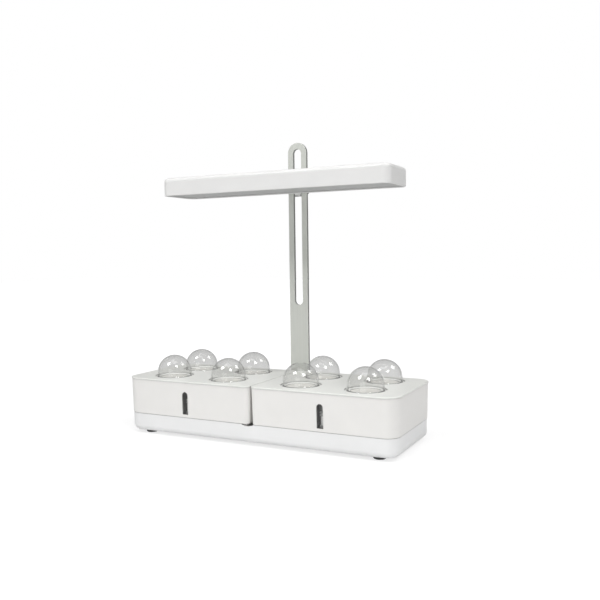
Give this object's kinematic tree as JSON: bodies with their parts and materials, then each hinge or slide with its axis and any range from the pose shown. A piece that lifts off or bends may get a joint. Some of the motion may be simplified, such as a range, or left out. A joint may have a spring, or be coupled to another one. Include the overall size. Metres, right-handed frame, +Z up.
{
  "type": "countertop hydroponic garden",
  "caption": "White countertop water garden: lidded tanks on a tray, net-cup pods under clear domes, level windows and a height-adjustable grow lamp on a slotted post.",
  "frame": {"origin": "on the resting surface, under the centre of the bounding box", "axes": "+Z up, -Y the front with the level windows, +X along the two tanks to the viewer's right"},
  "size_m": [0.4, 0.168, 0.407],
  "materials": {
    "base_plastic": "satin moulded",
    "foot_rubber": "matte",
    "post_coating": "satin powder coat",
    "screw_steel": "zinc plated",
    "lamp_plastic": "satin moulded",
    "diffuser_plastic": "frosted",
    "plate_aluminium": "mill finish",
    "board_white": "white solder mask",
    "board_green": "green solder mask",
    "inlet_black": "moulded",
    "slider_plastic": "moulded",
    "clamp_steel": "brushed",
    "knob_black": "fine texture",
    "insert_brass": "turned",
    "tank_plastic": "satin moulded",
    "lid_plastic": "satin moulded",
    "window_clear": "clear moulded plastic",
    "gasket_rubber": "matte",
    "guide_plastic": "moulded",
    "rod_steel": "drawn",
    "float_foam": "smooth foam",
    "basket_plastic": "moulded",
    "sponge_foam": "open-cell foam",
    "dome_clear": "clear moulded plastic"
  },
  "bodies": {
    "base": {"base_tray": "base_plastic", "rubber_feet": "foot_rubber", "light_post": "post_coating", "post_screws": "screw_steel"},
    "lamp": {"lamp_housing": "lamp_plastic", "lamp_diffuser": "diffuser_plastic", "heat_plate": "plate_aluminium", "led_boards": "board_white", "plate_screws": "screw_steel", "timer_board": "board_green", "dc_inlet": "inlet_black", "lamp_bracket": "lamp_plastic", "bracket_screws": "screw_steel", "slot_slider": "slider_plastic", "clamp_bolt": "screw_steel", "clamp_plate": "clamp_steel"},
    "knob": {"clamp_knob": "knob_black", "knob_insert": "insert_brass"},
    "button": {"timer_button": "lamp_plastic"},
    "tank_left": {"tank_shell_left": "tank_plastic", "level_window_left": "window_clear", "window_gasket_left": "gasket_rubber", "float_guide_left": "guide_plastic", "float_rod_left": "rod_steel"},
    "lid_left": {"tank_lid_left": "lid_plastic"},
    "float_left": {"level_float_left": "float_foam"},
    "tank_right": {"tank_shell_right": "tank_plastic", "level_window_right": "window_clear", "window_gasket_right": "gasket_rubber", "float_guide_right": "guide_plastic", "float_rod_right": "rod_steel"},
    "lid_right": {"tank_lid_right": "lid_plastic"},
    "float_right": {"level_float_right": "float_foam"},
    "pod_1": {"basket_1": "basket_plastic", "grow_sponge_1": "sponge_foam"},
    "cover_1": {"dome_1": "dome_clear"},
    "pod_2": {"basket_2": "basket_plastic", "grow_sponge_2": "sponge_foam"},
    "cover_2": {"dome_2": "dome_clear"},
    "pod_3": {"basket_3": "basket_plastic", "grow_sponge_3": "sponge_foam"},
    "cover_3": {"dome_3": "dome_clear"},
    "pod_4": {"basket_4": "basket_plastic", "grow_sponge_4": "sponge_foam"},
    "cover_4": {"dome_4": "dome_clear"},
    "pod_5": {"basket_5": "basket_plastic", "grow_sponge_5": "sponge_foam"},
    "cover_5": {"dome_5": "dome_clear"},
    "pod_6": {"basket_6": "basket_plastic", "grow_sponge_6": "sponge_foam"},
    "cover_6": {"dome_6": "dome_clear"},
    "pod_7": {"basket_7": "basket_plastic", "grow_sponge_7": "sponge_foam"},
    "cover_7": {"dome_7": "dome_clear"},
    "pod_8": {"basket_8": "basket_plastic", "grow_sponge_8": "sponge_foam"},
    "cover_8": {"dome_8": "dome_clear"}
  },
  "joints": [
    {"name": "lamp_height", "type": "slide", "parent": "base", "child": "lamp", "axis": [0, 0, 1], "range_m": [-0.157, 0.0377]},
    {"name": "knob_turn", "type": "hinge", "parent": "lamp", "child": "knob", "pos_m": [0, 0.0766, 0.34575], "axis": [0, 1, 0], "range_deg": [0, 360]},
    {"name": "button_press", "type": "slide", "parent": "lamp", "child": "button", "axis": [0, 0, -1], "range_m": [0, 0.0007], "stiffness_N_per_m": 1200, "springref_m": -0.0005},
    {"name": "tank_lift_left", "type": "slide", "parent": "base", "child": "tank_left", "axis": [0, 0, 1], "range_m": [0, 0.06]},
    {"name": "lid_lift_left", "type": "slide", "parent": "tank_left", "child": "lid_left", "axis": [0, 0, 1], "range_m": [0, 0.06]},
    {"name": "float_rise_left", "type": "slide", "parent": "tank_left", "child": "float_left", "axis": [0, 0, 1], "range_m": [0, 0.017]},
    {"name": "tank_lift_right", "type": "slide", "parent": "base", "child": "tank_right", "axis": [0, 0, 1], "range_m": [0, 0.06]},
    {"name": "lid_lift_right", "type": "slide", "parent": "tank_right", "child": "lid_right", "axis": [0, 0, 1], "range_m": [0, 0.06]},
    {"name": "float_rise_right", "type": "slide", "parent": "tank_right", "child": "float_right", "axis": [0, 0, 1], "range_m": [0, 0.017]},
    {"name": "basket_lift_1", "type": "slide", "parent": "lid_left", "child": "pod_1", "axis": [0, 0, 1], "range_m": [0, 0.06]},
    {"name": "dome_lift_1", "type": "slide", "parent": "pod_1", "child": "cover_1", "axis": [0, 0, 1], "range_m": [0, 0.04]},
    {"name": "basket_lift_2", "type": "slide", "parent": "lid_left", "child": "pod_2", "axis": [0, 0, 1], "range_m": [0, 0.06]},
    {"name": "dome_lift_2", "type": "slide", "parent": "pod_2", "child": "cover_2", "axis": [0, 0, 1], "range_m": [0, 0.04]},
    {"name": "basket_lift_3", "type": "slide", "parent": "lid_left", "child": "pod_3", "axis": [0, 0, 1], "range_m": [0, 0.06]},
    {"name": "dome_lift_3", "type": "slide", "parent": "pod_3", "child": "cover_3", "axis": [0, 0, 1], "range_m": [0, 0.04]},
    {"name": "basket_lift_4", "type": "slide", "parent": "lid_left", "child": "pod_4", "axis": [0, 0, 1], "range_m": [0, 0.06]},
    {"name": "dome_lift_4", "type": "slide", "parent": "pod_4", "child": "cover_4", "axis": [0, 0, 1], "range_m": [0, 0.04]},
    {"name": "basket_lift_5", "type": "slide", "parent": "lid_right", "child": "pod_5", "axis": [0, 0, 1], "range_m": [0, 0.06]},
    {"name": "dome_lift_5", "type": "slide", "parent": "pod_5", "child": "cover_5", "axis": [0, 0, 1], "range_m": [0, 0.04]},
    {"name": "basket_lift_6", "type": "slide", "parent": "lid_right", "child": "pod_6", "axis": [0, 0, 1], "range_m": [0, 0.06]},
    {"name": "dome_lift_6", "type": "slide", "parent": "pod_6", "child": "cover_6", "axis": [0, 0, 1], "range_m": [0, 0.04]},
    {"name": "basket_lift_7", "type": "slide", "parent": "lid_right", "child": "pod_7", "axis": [0, 0, 1], "range_m": [0, 0.06]},
    {"name": "dome_lift_7", "type": "slide", "parent": "pod_7", "child": "cover_7", "axis": [0, 0, 1], "range_m": [0, 0.04]},
    {"name": "basket_lift_8", "type": "slide", "parent": "lid_right", "child": "pod_8", "axis": [0, 0, 1], "range_m": [0, 0.06]},
    {"name": "dome_lift_8", "type": "slide", "parent": "pod_8", "child": "cover_8", "axis": [0, 0, 1], "range_m": [0, 0.04]}
  ]
}
